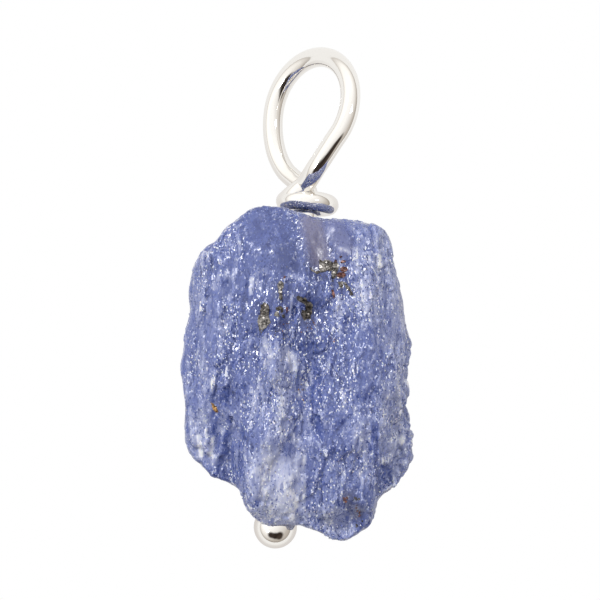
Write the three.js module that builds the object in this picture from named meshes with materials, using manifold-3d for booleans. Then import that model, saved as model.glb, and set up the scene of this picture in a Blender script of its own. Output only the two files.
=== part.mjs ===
// A rough tanzanite crystal, drilled lengthwise and threaded on a ball-headed silver pin.
// The pin's wire leaves the top of the crystal, makes a hanging loop and wraps once round its own neck.
// Millimetres, +Z up. The pendant lies on a small flat on the crystal's back, its front to +Z:
// +X is to the right of the front, +Y points along the crystal to the loop.
import * as THREE from "three";
import { mergeVertices } from "three/addons/utils/BufferGeometryUtils.js";
import Module from "manifold-3d";

const wasm = await Module();
wasm.setup();
const { smoothstep, degToRad } = THREE.MathUtils;

// Driving dimensions of the crystal
const THICKNESS = 8.1; // from the back flat to the front
const BACK_CROWN = 0.35; // how far the back would bulge past the flat that it rests on
const WAIST_SIDE = 4.0; // height of the widest line along the left and right sides
const WAIST_TOP = 5.9; // and at the top and bottom ends, which lean forward
const WAIST_BOTTOM = 6.9;
const FRONT_SQUARENESS = 4.6; // exponent of the section's front corners
const BACK_SQUARENESS = 2.7; // and of its rounder back corners
const CRYSTAL_DETAIL = 17; // divisions of each icosahedron edge, less one

// Driving dimensions of the pin
const WIRE_DIAMETER = 1.0;
const BALL_DIAMETER = 2.16;
const PIN_LENGTH = 16.3; // middle of the ball to middle of the wrap
const LOOP_RADIUS = 2.84; // to the middle of the wire
const LOOP_TURN = degToRad(40); // the loop's plane, turned about the pin from the crystal's front
const LOOP_HEIGHT = 4.5; // middle of the loop above the wrap
const LOOP_SHIFT = 0.14; // the loop stands this much to the right of the pin
const LOOP_LEAN = 0.06; // and leans to the right as it rises
const LOOP_DROOP = 1.24; // how far its lower left is drawn down from a true round
const LEFT_ROUND = degToRad(70); // how far the loop stays round below its middle on each side
const RIGHT_ROUND = degToRad(53);
const CROSSING_HEIGHT = 0.62; // where the wire crosses in front of its own neck, above the wrap
const CROSSING_TURN = degToRad(60); // the turn in which it comes down from there to the wrap
const WRAP_TURN = degToRad(345); // from the crossing to the cut end
const WRAP_JOIN = degToRad(150); // the turn is drawn in two runs that join here, behind the neck
const WRAP_TIP = 0.1; // how much higher its front is than its middle
const WIRE_GAP = 0.06; // between the wrap and the neck
const WRAP_CENTRE = new THREE.Vector3(0.61, 4.73, 3.6);
const PIN_TILT = degToRad(5.7); // the pin's top leans to the right
const PIN_LEAN = degToRad(6); // and back
const DRILL_GAP = 0.2; // round the wire and the ball

// The crystal's outline seen from the front, anticlockwise from the hump left of the wire
const OUTLINE = [
  [-1.7, 4.58], [-2.15, 4.45], [-2.75, 3.95], [-3.5, 3.45], [-3.95, 2.75], [-4.6, 2.45],
  [-5.05, 1.6], [-5.32, 0.65], [-5.35, -0.1], [-5.2, -0.65], [-5.4, -1.55], [-5.55, -2.65],
  [-5.73, -3.5], [-5.56, -4.25], [-5.45, -4.95], [-5.43, -7.05], [-5.2, -7.9], [-4.65, -8.3],
  [-4.2, -8.85], [-3.4, -9.2], [-2.78, -9.5], [-2.65, -10.1], [-2.35, -10.8], [-1.4, -11.38],
  [0.25, -11.32], [1.1, -11.65], [1.85, -12.12], [2.7, -12.08], [3.3, -11.6], [3.75, -11.3],
  [3.95, -10.75], [4.02, -10.1], [4.95, -9.35], [5.65, -8.45], [5.73, -7.9], [5.63, -6.1],
  [5.37, -5.45], [5.55, -4.65], [5.37, -3.85], [5.65, -3.25], [5.68, -2.05], [5.42, -1.2],
  [5.3, 0], [4.85, 1.75], [4.75, 2.65], [4.6, 3.2], [4.15, 3.6], [3.2, 3.78],
  [2.2, 3.92], [1.3, 3.93], [0.2, 4.2], [-0.75, 4.52],
].map(([x, y]) => new THREE.Vector2(x, y));
const MIDDLE = new THREE.Vector2(0, -3.8); // the outline is star-shaped about this point

// Cleavage and fracture faces: a point beyond one is brought back to it
const FACES = [
  { name: "front left", through: [-5.0, -3, 6.6], normal: [-0.75, 0.05, 0.66] },
  { name: "front right", through: [5.2, -1, 6.6], normal: [0.72, 0.1, 0.69] },
  { name: "front top", through: [-0.5, 3.6, 7.3], normal: [-0.12, 0.55, 0.82] },
  { name: "top", through: [0.7, 3.95, 4.2], normal: [0.1, 0.97, -0.22] },
  { name: "top left", through: [-4.5, 2.2, 3.2], normal: [-0.55, 0.6, -0.58] },
  { name: "back left", through: [-5.0, -3.5, 2.4], normal: [-0.8, 0.06, -0.6] },
  { name: "back right", through: [4.9, -3, 1.9], normal: [0.72, -0.08, -0.69] },
  { name: "bottom", through: [-0.9, -10.9, 5.6], normal: [-0.33, -0.8, -0.5] },
  { name: "bottom right", through: [3.8, -10.0, 3.6], normal: [0.5, -0.72, -0.48] },
].map(({ through, normal }) =>
  new THREE.Plane().setFromNormalAndCoplanarPoint(
    new THREE.Vector3(...normal).normalize(),
    new THREE.Vector3(...through),
  ),
);

// Growth ridges along the crystal: waves round its length, each drifting a little on its way up
const RIDGES = [
  { count: 7, drift: 0.22, phase: 0.6, height: 0.2 },
  { count: 12, drift: -0.3, phase: 2.4, height: 0.14 },
  { count: 19, drift: 0.45, phase: 4.1, height: 0.1 },
];
// Lumps across the ridges, as on the scalloped right edge
const LUMPS = [
  { across: 1.1, along: 2.1, deep: 0.8, phase: 0.4, height: 0.09 },
  { across: -0.7, along: 3.4, deep: 1.7, phase: 1.9, height: 0.06 },
];

// Distance from MIDDLE to the outline in the direction of angle
function outlineRadius(angle) {
  const ray = new THREE.Vector2(Math.cos(angle), Math.sin(angle));
  for (let i = 0; i < OUTLINE.length; i++) {
    const from = OUTLINE[i].clone().sub(MIDDLE);
    const to = OUTLINE[(i + 1) % OUTLINE.length].clone().sub(MIDDLE);
    if (ray.cross(from) > 1e-9 || ray.cross(to) < -1e-9) continue;
    if (ray.dot(from) + ray.dot(to) < 0) continue;
    const edge = to.clone().sub(from);
    return from.cross(edge) / ray.cross(edge);
  }
  throw new Error("the outline has no edge at angle " + angle);
}

// How far the front stands out from, or back of, the plain form at a place seen from the front
function frontRelief(x, y) {
  const recessEdge = 4.0 + 0.15 * (y + 10.1);
  const recess = -1.7 * smoothstep(x, recessEdge - 0.2, recessEdge + 0.4) * smoothstep(-y, 4.4, 6.4);
  const ledgeEdge = -2.75 + 0.06 * (y + 9.5);
  const ledge = -1.5 * smoothstep(-x, -ledgeEdge - 0.15, -ledgeEdge + 0.5) * smoothstep(-y, 3, 9);
  const spineX = y > -5 ? -0.55 + 0.18 * (-5 - y) : -0.55 - 0.42 * (-5 - y);
  const spine = 0.4 * Math.exp(-(((x - spineX) / 0.75) ** 2)) * smoothstep(-y, 1.2, 2.6);
  const tongueStep = -0.4 * smoothstep(x, 0.4, 0.75) * smoothstep(-y, 7.4, 8.2) * smoothstep(-x, -3.4, -2.2);
  const chin = -0.9 * smoothstep(-y, 10.2, 11.6);
  const leftStep = -0.35 * smoothstep(-x, 2.6, 3.1) * smoothstep(y, -5, 0.5);
  const rightStep = -0.3 * smoothstep(x, 2.1, 2.5) * smoothstep(y, -4, 1);
  const hollow = -0.4 * Math.exp(-(((x - 0.3) / 0.8) ** 2) - ((y + 4.7) / 1.1) ** 2);
  return recess + ledge + spine + tongueStep + chin + leftStep + rightStep + hollow;
}

// Moves a direction from the crystal's middle out to its surface
function toSurface(point) {
  const angle = Math.atan2(point.y, point.x);
  const across = Math.hypot(point.x, point.y);
  const frontShare = 1.35; // spends more of the directions on the front and back than on the sides
  const rise = frontShare * Math.abs(point.z);
  const squareness = point.z > 0 ? FRONT_SQUARENESS : BACK_SQUARENESS;
  const reach = (across ** squareness + rise ** squareness) ** (-1 / squareness);
  const waistEnd = point.y > 0 ? WAIST_TOP : WAIST_BOTTOM;
  const waist = WAIST_SIDE + (waistEnd - WAIST_SIDE) * Math.sin(angle) ** 2;
  const radius = outlineRadius(angle) * reach * across;
  const height = reach * rise;
  const x = MIDDLE.x + radius * Math.cos(angle);
  const y = MIDDLE.y + radius * Math.sin(angle);
  if (point.z > 0) {
    const z = waist + (THICKNESS - waist) * height;
    point.set(x, y, z + frontRelief(x, y) * smoothstep(height, 0.25, 0.95));
  } else {
    point.set(x, y, waist - (waist + BACK_CROWN) * height);
  }

  const around = Math.atan2(point.z - THICKNESS / 2, point.x);
  let swell = 0;
  for (const r of RIDGES) {
    const wave = Math.abs(Math.sin((r.count * around + r.drift * point.y + r.phase) / 2));
    swell += r.height * (1.27 - 2 * wave);
  }
  for (const l of LUMPS) {
    const row = Math.sin(l.across * point.x + l.phase);
    swell += l.height * row * Math.sin(l.along * point.y + l.deep * point.z);
  }
  const inward = smoothstep(Math.hypot(point.x, point.z - THICKNESS / 2), 0.5, 2.5);
  point.x += swell * 0.25 * inward * Math.cos(around);
  point.z += swell * inward * Math.sin(around);

  for (const face of FACES) {
    const beyond = face.distanceToPoint(point);
    if (beyond > 0) point.addScaledVector(face.normal, -beyond);
  }
  point.z = Math.max(point.z, 0);
}

// A geometry as a manifold-3d solid
function solid(geometry) {
  const bare = new THREE.BufferGeometry().setAttribute("position", geometry.getAttribute("position"));
  bare.setIndex(geometry.index);
  const merged = mergeVertices(bare, 1e-4);
  return new wasm.Manifold(
    new wasm.Mesh({
      numProp: 3,
      vertProperties: new Float32Array(merged.getAttribute("position").array),
      triVerts: new Uint32Array(merged.index.array),
    }),
  );
}

// A manifold-3d solid as a geometry
function geometryOf(made) {
  const { vertProperties, triVerts } = made.getMesh();
  const geometry = new THREE.BufferGeometry();
  geometry.setAttribute("position", new THREE.BufferAttribute(vertProperties, 3));
  geometry.setIndex(new THREE.BufferAttribute(triVerts, 1));
  geometry.computeVertexNormals();
  return geometry;
}

// The pin's own frame: +Y up along the wire, +Z to the crystal's front, the origin in the wrap's middle
const pinFrame = new THREE.Group();
pinFrame.position.copy(WRAP_CENTRE);
pinFrame.rotation.set(-PIN_LEAN, 0, -PIN_TILT, "ZYX");
pinFrame.updateMatrix();

const wireRadius = WIRE_DIAMETER / 2;
const ballRadius = BALL_DIAMETER / 2;
const ballCentre = new THREE.Vector3(0, -PIN_LENGTH, 0);

// The crystal, with its drilled hole and the seat that the ball sits in
function crystal() {
  const rough = new THREE.IcosahedronGeometry(1, CRYSTAL_DETAIL);
  const place = rough.getAttribute("position");
  const point = new THREE.Vector3();
  for (let i = 0; i < place.count; i++) {
    point.fromBufferAttribute(place, i).normalize();
    toSurface(point);
    place.setXYZ(i, point.x, point.y, point.z);
  }
  const drillLength = PIN_LENGTH + 4 * WIRE_DIAMETER;
  const drill = new THREE.CylinderGeometry(wireRadius + DRILL_GAP, wireRadius + DRILL_GAP, drillLength, 16)
    .translate(0, 2 * WIRE_DIAMETER - PIN_LENGTH / 2, 0)
    .applyMatrix4(pinFrame.matrix);
  const seat = new THREE.SphereGeometry(ballRadius + DRILL_GAP, 18, 12)
    .translate(...ballCentre)
    .applyMatrix4(pinFrame.matrix);
  return geometryOf(solid(rough).subtract(solid(drill)).subtract(solid(seat)));
}

// A place on the turn of wire round the neck, by how far it has turned since crossing in front
function wrapPoint(turned) {
  const angle = Math.PI / 2 + LOOP_TURN + turned;
  const drop = Math.max(0, 1 - turned / CROSSING_TURN) ** 2;
  const height = CROSSING_HEIGHT * drop + WRAP_TIP * Math.sin(angle);
  const radius = WIRE_DIAMETER + WIRE_GAP;
  return new THREE.Vector3(radius * Math.cos(angle), height, radius * Math.sin(angle));
}

// The middle line of the wire from the ball up through the crystal, round the loop and behind the neck
function loopLine() {
  const sideways = new THREE.Vector3(Math.cos(LOOP_TURN), 0, Math.sin(LOOP_TURN));
  const forward = new THREE.Vector3(-Math.sin(LOOP_TURN), 0, Math.cos(LOOP_TURN));
  const at = (u, height, n) =>
    new THREE.Vector3(0, height, 0).addScaledVector(sideways, u).addScaledVector(forward, n);
  const points = [];
  const shankSteps = 8;
  for (let i = 0; i <= shankSteps; i++) {
    points.push(at(0, THREE.MathUtils.lerp(-PIN_LENGTH, 0.2, i / shankSteps), 0));
  }
  points.push(at(-0.2, CROSSING_HEIGHT, 0));

  const start = Math.PI + LEFT_ROUND;
  const end = -RIGHT_ROUND;
  const loopSteps = 18;
  for (let i = 0; i <= loopSteps; i++) {
    const t = i / loopSteps;
    const turn = THREE.MathUtils.lerp(start, end, t);
    const n = (WIRE_DIAMETER + WIRE_GAP) * smoothstep(t, 0, 1);
    const u = LOOP_SHIFT + LOOP_RADIUS * (Math.cos(turn) + LOOP_LEAN * Math.sin(turn));
    const droop = turn > Math.PI ? LOOP_DROOP : 1;
    points.push(at(u, LOOP_HEIGHT + droop * LOOP_RADIUS * Math.sin(turn), n));
  }

  const wrapSteps = 9;
  for (let i = 0; i <= wrapSteps; i++) points.push(wrapPoint((WRAP_JOIN * i) / wrapSteps));
  return new THREE.CatmullRomCurve3(points);
}

// The rest of the turn, from inside the wire behind the neck to the cut end pressed under the crossing
function wrapLine() {
  const points = [];
  const steps = 12;
  const from = WRAP_JOIN - degToRad(20);
  for (let i = 0; i <= steps; i++) points.push(wrapPoint(THREE.MathUtils.lerp(from, WRAP_TURN, i / steps)));
  return new THREE.CatmullRomCurve3(points);
}

// Round wire along a line
function wire(line, radius, steps) {
  const section = new THREE.Shape().absarc(0, 0, radius, 0, 2 * Math.PI);
  return new THREE.ExtrudeGeometry(section, { steps, curveSegments: 5, extrudePath: line });
}

// The pin, one piece of wire with its melted ball
function pin() {
  const ball = new THREE.SphereGeometry(ballRadius, 18, 12).translate(...ballCentre);
  const loop = wire(loopLine(), wireRadius, 106);
  const wrap = wire(wrapLine(), wireRadius * 0.94, 20);
  return geometryOf(solid(loop).add(solid(wrap)).add(solid(ball)));
}

const tanzanite = new THREE.Mesh(
  crystal(),
  new THREE.MeshStandardMaterial({ color: 0x5f70b4, roughness: 0.35, metalness: 0 }),
);
tanzanite.name = "tanzanite";

const silverPin = new THREE.Mesh(
  pin(),
  new THREE.MeshStandardMaterial({ color: 0xe8e4df, roughness: 0.08, metalness: 1 }),
);
silverPin.name = "silver_pin";
pinFrame.add(silverPin);

const pendant = new THREE.Group();
pendant.add(tanzanite, pinFrame);

export default pendant;
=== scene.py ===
"""Dresses a rough tanzanite pendant: a ridged crystal with dark mineral grains, on a silver ball pin."""

import logging
import math
from dataclasses import dataclass, field
from enum import Enum

import bpy
import numpy as np
from mathutils import Matrix, Vector
from mathutils.bvhtree import BVHTree
from mathutils.geometry import delaunay_2d_cdt


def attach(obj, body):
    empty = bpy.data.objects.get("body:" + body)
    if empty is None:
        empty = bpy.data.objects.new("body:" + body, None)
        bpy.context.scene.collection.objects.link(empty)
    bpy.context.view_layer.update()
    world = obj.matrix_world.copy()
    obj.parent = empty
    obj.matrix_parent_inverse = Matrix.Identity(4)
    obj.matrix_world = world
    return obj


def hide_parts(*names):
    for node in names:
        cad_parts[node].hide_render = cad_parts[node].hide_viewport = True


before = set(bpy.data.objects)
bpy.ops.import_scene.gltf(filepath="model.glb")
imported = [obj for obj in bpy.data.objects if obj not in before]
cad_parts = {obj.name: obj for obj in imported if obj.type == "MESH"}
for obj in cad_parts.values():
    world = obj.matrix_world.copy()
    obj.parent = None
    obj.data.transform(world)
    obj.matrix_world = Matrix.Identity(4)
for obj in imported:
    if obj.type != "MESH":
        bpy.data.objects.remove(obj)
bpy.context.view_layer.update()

MM = 0.001
FRONT = np.array((0.0, 0.0, 1.0))
WHITE = "ffffff"
Size = tuple[float, float, float]
Range = tuple[float, float]
# a span takes a value from low to high and says what it becomes at each, in the order of these sockets
Span = tuple[float, float, float, float]
SPAN_SOCKETS = ("From Min", "From Max", "To Min", "To Max")
# large odd numbers that scatter the random numbers of neighbouring cells
CELL_FACTORS = np.array((374761393, 668265263, 1440662683))
SEED_FACTOR = 974711
MIX_FACTOR = 1274126177
WORD = 0xFFFFFFFF
log = logging.getLogger("pendant")


def linear(colour: str) -> tuple[float, float, float, float]:
    """Turns an sRGB hex colour to linear.

    Args:
        colour: six hex digits, such as "5a6bb0".

    Returns:
        Linear red, green, blue and an alpha of 1.
    """
    parts = [int(colour[i : i + 2], 16) / 255 for i in (0, 2, 4)]
    bent = [c / 12.92 if c <= 0.04045 else ((c + 0.055) / 1.055) ** 2.4 for c in parts]
    return (bent[0], bent[1], bent[2], 1.0)


def add_node(
    tree: bpy.types.NodeTree,
    kind: str,
    inputs: dict | None = None,
    stops: tuple[tuple[float, str], ...] = (),
    **settings: object,
) -> bpy.types.Node:
    """Adds a node with its settings, socket values and links.

    Args:
        tree: the node tree that gets the node.
        kind: the node's type name.
        inputs: a value, or an output socket to link, for each input by name or number.
        stops: the positions and sRGB hex colours along its colour ramp, if it has one.
        settings: the node's own properties.

    Returns:
        The new node.
    """
    node = tree.nodes.new(kind)
    for name, value in settings.items():
        setattr(node, name, value)
    if stops:
        elements = node.color_ramp.elements
        while len(elements) < len(stops):
            elements.new(0.5)
        for element, (position, colour) in zip(elements, stops):
            element.position = position
            element.color = linear(colour)
    for name, value in (inputs or {}).items():
        socket = node.inputs[name]
        if isinstance(value, bpy.types.NodeSocket):
            tree.links.new(value, socket)
        else:
            socket.default_value = value
    return node


def bare_material(name: str) -> bpy.types.Material:
    """Makes a material with an empty node tree.

    Args:
        name: the material's name.

    Returns:
        The new material.
    """
    material = bpy.data.materials.new(name)
    material.use_nodes = True
    material.node_tree.nodes.clear()
    return material


def add_mesh(name: str, points: list, faces: list, materials: list[bpy.types.Material]) -> bpy.types.Object:
    """Adds a mesh object to the scene.

    Args:
        name: the object's name.
        points: its points in metres.
        faces: its faces, as numbers of points.
        materials: its materials, in order.

    Returns:
        The new object.
    """
    mesh = bpy.data.meshes.new(name)
    mesh.from_pydata(points, [], faces)
    for material in materials:
        mesh.materials.append(material)
    made = bpy.data.objects.new(name, mesh)
    bpy.context.scene.collection.objects.link(made)
    return made


def smoothstep(value: np.ndarray, low: float, high: float) -> np.ndarray:
    """Returns 0 below low, 1 above high and a smooth rise between."""
    t = np.clip((value - low) / (high - low), 0.0, 1.0)
    return t * t * (3.0 - 2.0 * t)


def lattice(cells: np.ndarray, seed: int) -> np.ndarray:
    """Gives every whole-number cell a fixed random number.

    Args:
        cells: (n, 3) whole numbers.
        seed: picks the set of random numbers.

    Returns:
        (n,) numbers from 0 to 1.
    """
    mixed = (cells.astype(np.int64) @ CELL_FACTORS + seed * SEED_FACTOR) & WORD
    mixed = ((mixed ^ (mixed >> 13)) * MIX_FACTOR) & WORD
    return (mixed ^ (mixed >> 16)) / 2.0**32


def soft_noise(points: np.ndarray, size: Size, seed: int) -> np.ndarray:
    """Smooth noise with waves of a given size along each axis.

    Args:
        points: (n, 3) places in mm.
        size: the waves' size in mm along x, y and z.
        seed: picks the noise.

    Returns:
        (n,) numbers from -1 to 1.
    """
    q = points / np.array(size)
    low = np.floor(q)
    t = smoothstep(q - low, 0.0, 1.0)
    total = np.zeros(len(points))
    for corner in np.ndindex(2, 2, 2):
        step = np.array(corner)
        share = np.prod(np.where(step == 1, t, 1.0 - t), axis=1)
        total += share * lattice(low + step, seed)
    return 2.0 * total - 1.0


@dataclass(frozen=True)
class Wave:
    """Soft noise over the crystal: its waves' size in mm, seed, strength and what calm parts lose of it."""

    size: Size
    seed: int
    strength: float
    calmed: float = 0.0

    def over(self, points: np.ndarray) -> np.ndarray:
        """Returns the noise at (n, 3) places in mm, from -1 to 1."""
        return soft_noise(points, self.size, self.seed)


@dataclass(frozen=True)
class Chips:
    """A kind of chip on the crystal: its usual size in mm, its seed, and its lift and lean in mm."""

    size: Size
    seed: int
    lift: float
    lean: float = 0.0


@dataclass
class Splinters:
    """Flat chips of a fractured surface, each the part nearest to one jittered lattice point."""

    lean: np.ndarray
    lift: np.ndarray
    border: np.ndarray

    @classmethod
    def over(cls, points: np.ndarray, chips: Chips) -> "Splinters":
        """Splits places among chips.

        Args:
            points: (n, 3) places in mm.
            chips: the kind of chip.

        Returns:
            For each place its chip's slope there and lift, both about -1 to 1, and how far it is inside the
            chip's border.
        """
        q = points / np.array(chips.size)
        base = np.floor(q)
        count = len(points)
        nearest = np.full(count, np.inf)
        second = np.full(count, np.inf)
        away = np.zeros((count, 3))
        home = np.zeros((count, 3))
        for step in np.ndindex(3, 3, 3):
            cell = base + np.array(step) - 1
            jitter = np.stack([lattice(cell, chips.seed + i) for i in range(3)], axis=1)
            offset = q - cell - jitter
            distance = (offset**2).sum(1)
            closer = distance < nearest
            second = np.where(closer, nearest, np.minimum(second, distance))
            nearest = np.where(closer, distance, nearest)
            away[closer] = offset[closer]
            home[closer] = cell[closer]
        slope = np.stack([lattice(home, chips.seed + 10 + i) for i in range(3)], axis=1) * 2.0 - 1.0
        lift = lattice(home, chips.seed + 20) * 2.0 - 1.0
        border = np.sqrt(second) - np.sqrt(nearest)
        return cls((slope * away).sum(1), lift, border)


class Grain(Enum):
    """The mineral grains that sit in the crystal."""

    GRAPHITE = 0
    SOOTY = 1
    IRON_STAINED = 2
    PYRITE = 3
    # white grains painted as glints on graphite cleavage
    BRIGHT = 4


@dataclass(frozen=True)
class TanzaniteFinish:
    """Rough tanzanite, blue-violet zoisite as it was broken: glassy in its hollows, frosted along its ridges,
    with painted shade darkening the hollows.

    The eye sees a deep glowing blue under a skin of small flat chips, with pale streaks along the crystal,
    glints, white specks painted as sparkle and dark specks painted as the shade in pits.
    """

    # from a glassy hollow to a bruised chip, by how frosted it is; the frosting also carries painted shade
    # and painted sparkle
    colours: tuple[tuple[float, str], ...] = (
        (0.0, "2f3e7a"),
        (0.38, "5a69a7"),
        (0.72, "a4abce"),
        (1.0, "eff0f7"),
    )
    lilac: str = "7b7894"
    stain: str = "4c4a55"
    glow: str = "9fa8da"
    absorption: float = 170.0
    ior: float = 1.69
    transmission: float = 0.3
    scatter: float = 0.3
    scatter_mm: float = 0.4
    scatter_reach: Size = (0.5, 0.6, 1.0)
    # the patterns' sizes: real specks and pits are finer, and are drawn this coarse so that they show; the
    # white specks are painted sparkle and the dark pits painted shade
    chip_mm: Size = (0.07, 0.12, 0.07)
    streak_mm: Size = (0.3, 1.0, 0.3)
    speck_mm: Size = (0.055, 0.085, 0.055)
    splint_mm: Size = (0.17, 0.5, 0.17)
    bruise_mm: Size = (1.5, 3.0, 1.5)
    # what each pattern adds to the frosting
    streaks: Span = (0.25, 0.75, -0.15, 0.15)
    # painted sparkle: white specks that stand for glints of light
    painted_sparkle_specks: Span = (0.925, 0.955, 0.0, 0.56)
    # painted shade: dark specks for the shade in small pits
    painted_pit_shade: Span = (0.88, 0.92, 0.0, -0.42)
    dark_splints: Span = (0.92, 0.96, 0.0, -0.25)
    uneven_splints: Span = (0.0, 1.0, -0.05, 0.05)
    white_splints: Span = (0.9, 0.96, 0.0, 0.42)
    # how much of it the white splints' clusters, bruised patches and calm parts have
    clusters: Span = (0.48, 0.6, 0.1, 1.0)
    bruising: Span = (0.4, 0.6, 0.55, 1.4)
    calming: Span = (0.0, 1.0, 1.0, 0.35)
    # the small chips' lean by how calm the surface is, and its roughness by how frosted and how calm
    leaning: Span = (0.0, 1.0, 0.48, 0.08)
    dulling: Span = (0.1, 0.9, 0.13, 0.42)
    calm_dulling: float = 0.14

    def material(self) -> bpy.types.Material:
        """Makes the crystal's material.

        Returns:
            The new material.
        """
        made = bare_material("rough_tanzanite")
        tree = made.node_tree
        place = add_node(tree, "ShaderNodeTexCoord").outputs["Object"]
        kept = {}
        for name in ("frost", "calm", "lilac", "stain"):
            kept[name] = add_node(tree, "ShaderNodeAttribute", attribute_name=name).outputs["Fac"]
        patterns = {}
        for name, kind, size, settings in (
            ("streak", "ShaderNodeTexNoise", self.streak_mm, {"Detail": 4.0, "Roughness": 0.65}),
            ("bruise", "ShaderNodeTexNoise", self.bruise_mm, {"Detail": 1.0}),
            ("chip", "ShaderNodeTexVoronoi", self.chip_mm, {}),
            ("speck", "ShaderNodeTexVoronoi", self.speck_mm, {}),
            ("splint", "ShaderNodeTexVoronoi", self.splint_mm, {}),
        ):
            per_size = {0: place, 1: tuple(1.0 / (length * MM) for length in size)}
            scaled = add_node(tree, "ShaderNodeVectorMath", per_size, operation="MULTIPLY").outputs[0]
            patterns[name] = add_node(tree, kind, {"Vector": scaled, "Scale": 1.0, **settings})
        streak = patterns["streak"].outputs["Fac"]
        specks = add_node(tree, "ShaderNodeSeparateColor", {0: patterns["speck"].outputs["Color"]}).outputs
        splints = add_node(tree, "ShaderNodeSeparateColor", {0: patterns["splint"].outputs["Color"]}).outputs
        shares = {}
        for name, source in (
            ("streaks", streak),
            ("painted_sparkle_specks", specks[0]),
            ("painted_pit_shade", specks[1]),
            ("dark_splints", splints[1]),
            ("uneven_splints", splints[2]),
            ("white_splints", splints[0]),
            ("clusters", streak),
            ("bruising", patterns["bruise"].outputs["Fac"]),
            ("calming", kept["calm"]),
            ("leaning", kept["calm"]),
        ):
            span = dict(zip(SPAN_SOCKETS, getattr(self, name)))
            shares[name] = add_node(tree, "ShaderNodeMapRange", {"Value": source, **span}).outputs[0]

        # the fine frosting: all patterns added up, with painted sparkle specks and painted pit shade, and
        # white splints in clusters along the streaks
        fine = shares["streaks"]
        for name in ("painted_sparkle_specks", "painted_pit_shade", "dark_splints", "uneven_splints"):
            fine = add_node(tree, "ShaderNodeMath", {0: fine, 1: shares[name]}, operation="ADD").outputs[0]
        fine = {0: shares["white_splints"], 1: shares["clusters"], 2: fine}
        fine = add_node(tree, "ShaderNodeMath", fine, operation="MULTIPLY_ADD").outputs[0]
        # bruised patches have more of it and calm parts less, and the mesh's own frosting comes on top
        share = {0: shares["calming"], 1: shares["bruising"]}
        share = add_node(tree, "ShaderNodeMath", share, operation="MULTIPLY").outputs[0]
        frosting = {0: fine, 1: share, 2: kept["frost"]}
        frosting = add_node(tree, "ShaderNodeMath", frosting, operation="MULTIPLY_ADD").outputs[0]
        tint = add_node(tree, "ShaderNodeValToRGB", {"Fac": frosting}, self.colours).outputs["Color"]
        for name, colour in (("lilac", self.lilac), ("stain", self.stain)):
            mixing = {"Factor": kept[name], 6: tint, 7: linear(colour)}
            tint = add_node(tree, "ShaderNodeMix", mixing, data_type="RGBA").outputs[2]

        # each small chip leans its own way, most where the surface is bruised, which makes the glints
        lean = {0: patterns["chip"].outputs["Color"], 1: (0.5, 0.5, 0.5)}
        lean = add_node(tree, "ShaderNodeVectorMath", lean, operation="SUBTRACT").outputs[0]
        amount = {0: shares["leaning"], 1: shares["bruising"]}
        amount = add_node(tree, "ShaderNodeMath", amount, operation="MULTIPLY").outputs[0]
        lean = {0: lean, "Scale": amount}
        lean = add_node(tree, "ShaderNodeVectorMath", lean, operation="SCALE").outputs[0]
        normal = add_node(tree, "ShaderNodeNewGeometry").outputs["Normal"]
        normal = add_node(tree, "ShaderNodeVectorMath", {0: normal, 1: lean}, operation="ADD").outputs[0]
        normal = add_node(tree, "ShaderNodeVectorMath", {0: normal}, operation="NORMALIZE").outputs[0]

        # frosted and calm parts are duller than fresh glassy breaks
        dull = {"Value": frosting, **dict(zip(SPAN_SOCKETS, self.dulling))}
        dull = add_node(tree, "ShaderNodeMapRange", dull).outputs[0]
        dull = {0: kept["calm"], 1: self.calm_dulling, 2: dull}
        dull = add_node(tree, "ShaderNodeMath", dull, operation="MULTIPLY_ADD").outputs[0]
        shader = add_node(
            tree,
            "ShaderNodeBsdfPrincipled",
            {
                "Base Color": tint,
                "Roughness": dull,
                "IOR": self.ior,
                "Normal": normal,
                "Transmission Weight": self.transmission,
                "Subsurface Weight": self.scatter,
                "Subsurface Radius": self.scatter_reach,
                "Subsurface Scale": self.scatter_mm * MM,
            },
        )
        depth = {"Color": linear(self.glow), "Density": self.absorption}
        depth = add_node(tree, "ShaderNodeVolumeAbsorption", depth)
        add_node(tree, "ShaderNodeOutputMaterial", {"Surface": shader.outputs[0], "Volume": depth.outputs[0]})
        return made


@dataclass(frozen=True)
class GrainFinish:
    """A natural mineral grain broken open with the crystal: flaky, dark and part metallic."""

    name: str
    dark: str
    light: str
    metallic: float
    roughness: float
    mottle_mm: float = 0.12
    mottle: Range = (0.36, 0.66)
    flaking: float = 0.5
    flaking_mm: float = 0.03

    def material(self) -> bpy.types.Material:
        """Makes the grain's material, mottled between its two colours.

        Returns:
            The new material.
        """
        made = bare_material(self.name)
        tree = made.node_tree
        place = add_node(tree, "ShaderNodeTexCoord").outputs["Object"]
        mottle = {"Vector": place, "Scale": 1.0 / (self.mottle_mm * MM), "Detail": 3.0}
        mottle = add_node(tree, "ShaderNodeTexNoise", mottle).outputs["Fac"]
        stops = tuple(zip(self.mottle, (self.dark, self.light)))
        tint = add_node(tree, "ShaderNodeValToRGB", {"Fac": mottle}, stops)
        bump = {"Height": mottle, "Strength": self.flaking, "Distance": self.flaking_mm * MM}
        bump = add_node(tree, "ShaderNodeBump", bump)
        shader = add_node(
            tree,
            "ShaderNodeBsdfPrincipled",
            {
                "Base Color": tint.outputs["Color"],
                "Metallic": self.metallic,
                "Roughness": self.roughness,
                "Normal": bump.outputs["Normal"],
            },
        )
        add_node(tree, "ShaderNodeOutputMaterial", {"Surface": shader.outputs[0]})
        return made


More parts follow.
